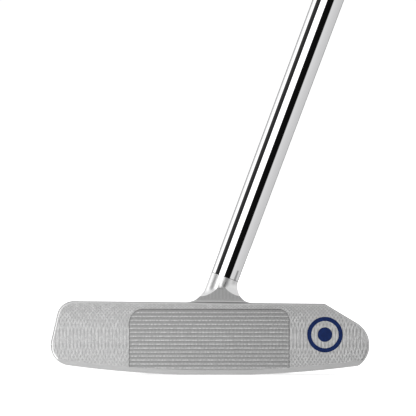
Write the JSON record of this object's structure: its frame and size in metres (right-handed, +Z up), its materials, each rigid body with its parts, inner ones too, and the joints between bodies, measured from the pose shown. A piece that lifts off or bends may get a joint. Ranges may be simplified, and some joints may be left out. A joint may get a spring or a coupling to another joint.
{
  "type": "mallet putter",
  "caption": "Right-handed centre-shafted golf putter: milled steel half-moon mallet head with a grooved face, stepless chromed shaft and rubber grip.",
  "frame": {"origin": "where the shaft's centreline meets the ground, on the flat of the sole", "axes": "+X to the heel, where the golfer stands; +Y from the face to the back; +Z up"},
  "size_m": [0.3671, 0.0562, 0.8123],
  "materials": {
    "milled_steel": "satin, fine milling marks; neck polished",
    "navy_paint": "enamel filled into a recess",
    "weight_steel": "turned",
    "seal_rubber": "plain",
    "epoxy": "plain",
    "chromed_steel": "mirror polished",
    "band_film": "blank printed film",
    "grip_tape": "crepe paper",
    "grip_rubber": "moulded texture",
    "cap_rubber": "moulded, plain"
  },
  "bodies": {
    "root": {"head": "milled_steel", "face_mark_ring": "navy_paint", "face_mark_dot": "navy_paint", "sight_line": "navy_paint", "sole_mark_ring": "navy_paint", "toe_sole_weight": "weight_steel", "heel_sole_weight": "weight_steel", "toe_weight_seal": "seal_rubber", "heel_weight_seal": "seal_rubber", "shaft_bond": "epoxy", "shaft": "chromed_steel", "shaft_band": "band_film", "grip_tape": "grip_tape", "grip": "grip_rubber", "grip_cap": "cap_rubber"}
  },
  "joints": []
}
